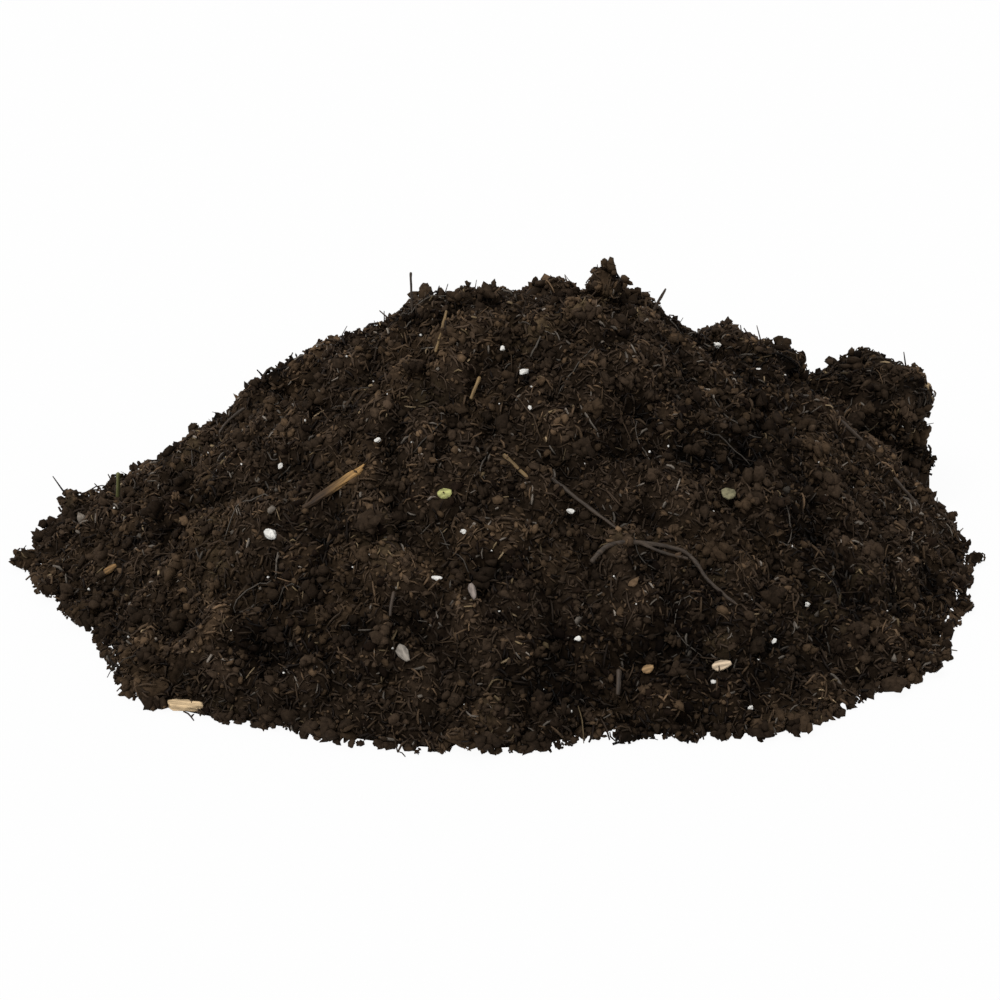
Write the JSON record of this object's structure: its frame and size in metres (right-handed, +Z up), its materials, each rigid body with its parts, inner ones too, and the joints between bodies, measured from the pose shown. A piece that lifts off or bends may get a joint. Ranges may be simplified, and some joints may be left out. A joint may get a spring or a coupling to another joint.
{
  "type": "compost heap",
  "caption": "Loose heap of dark fibrous compost at its angle of repose, with clods, wood chips, straw, roots and perlite grains bedded in its surface.",
  "frame": {"origin": "on the floor, under the middle of the heap's box", "axes": "+X along the heap's long side towards its right end, -Y towards the front, +Z up from the floor"},
  "size_m": [0.329, 0.2548, 0.1046],
  "materials": {
    "compost": "matte",
    "brown_compost": "matte",
    "wood_chip": "matte",
    "bark": "matte",
    "leaf": "matte",
    "straw": "matte",
    "green_stem": "matte",
    "root": "matte",
    "perlite": "matte"
  },
  "bodies": {
    "root": {"compost_mass": "compost", "crest_clod": "compost", "right_clod": "compost", "shoulder_clod": "compost", "left_shoulder_clod": "compost", "left_tip_clod": "compost", "left_foot_clod": "compost", "left_back_clod": "compost", "left_brown_clod": "brown_compost", "front_left_clod": "brown_compost", "front_clod": "compost", "front_right_clod": "compost", "front_brown_clod": "brown_compost", "right_foot_clod": "compost", "right_tip_clod": "compost", "right_flank_clod": "compost", "right_edge_clod": "compost", "pale_wood_chip": "wood_chip", "bark_sliver": "bark", "small_wood_chip": "wood_chip", "leaf_flake": "leaf", "yellow_flake": "leaf", "pale_flake": "wood_chip", "left_chip": "bark", "grey_flake": "leaf", "long_flake": "leaf", "crest_straw": "straw", "front_straw": "straw", "middle_straw": "straw", "green_stub": "green_stem", "straight_root": "root", "right_root": "root", "left_curl": "root", "right_twig": "root", "left_rootlet": "root", "front_rootlet": "root", "forked_root": "root", "skyline_stem": "root", "skyline_twig": "root", "perlite_grain_01": "perlite", "perlite_grain_02": "perlite", "perlite_grain_03": "perlite", "perlite_grain_04": "perlite", "perlite_grain_05": "perlite", "perlite_grain_06": "perlite", "perlite_grain_07": "perlite", "perlite_grain_08": "perlite", "perlite_grain_09": "perlite", "perlite_grain_10": "perlite", "perlite_grain_11": "perlite", "perlite_grain_12": "perlite", "perlite_grain_13": "perlite", "perlite_grain_14": "perlite", "perlite_grain_15": "perlite", "perlite_grain_16": "perlite"}
  },
  "joints": []
}
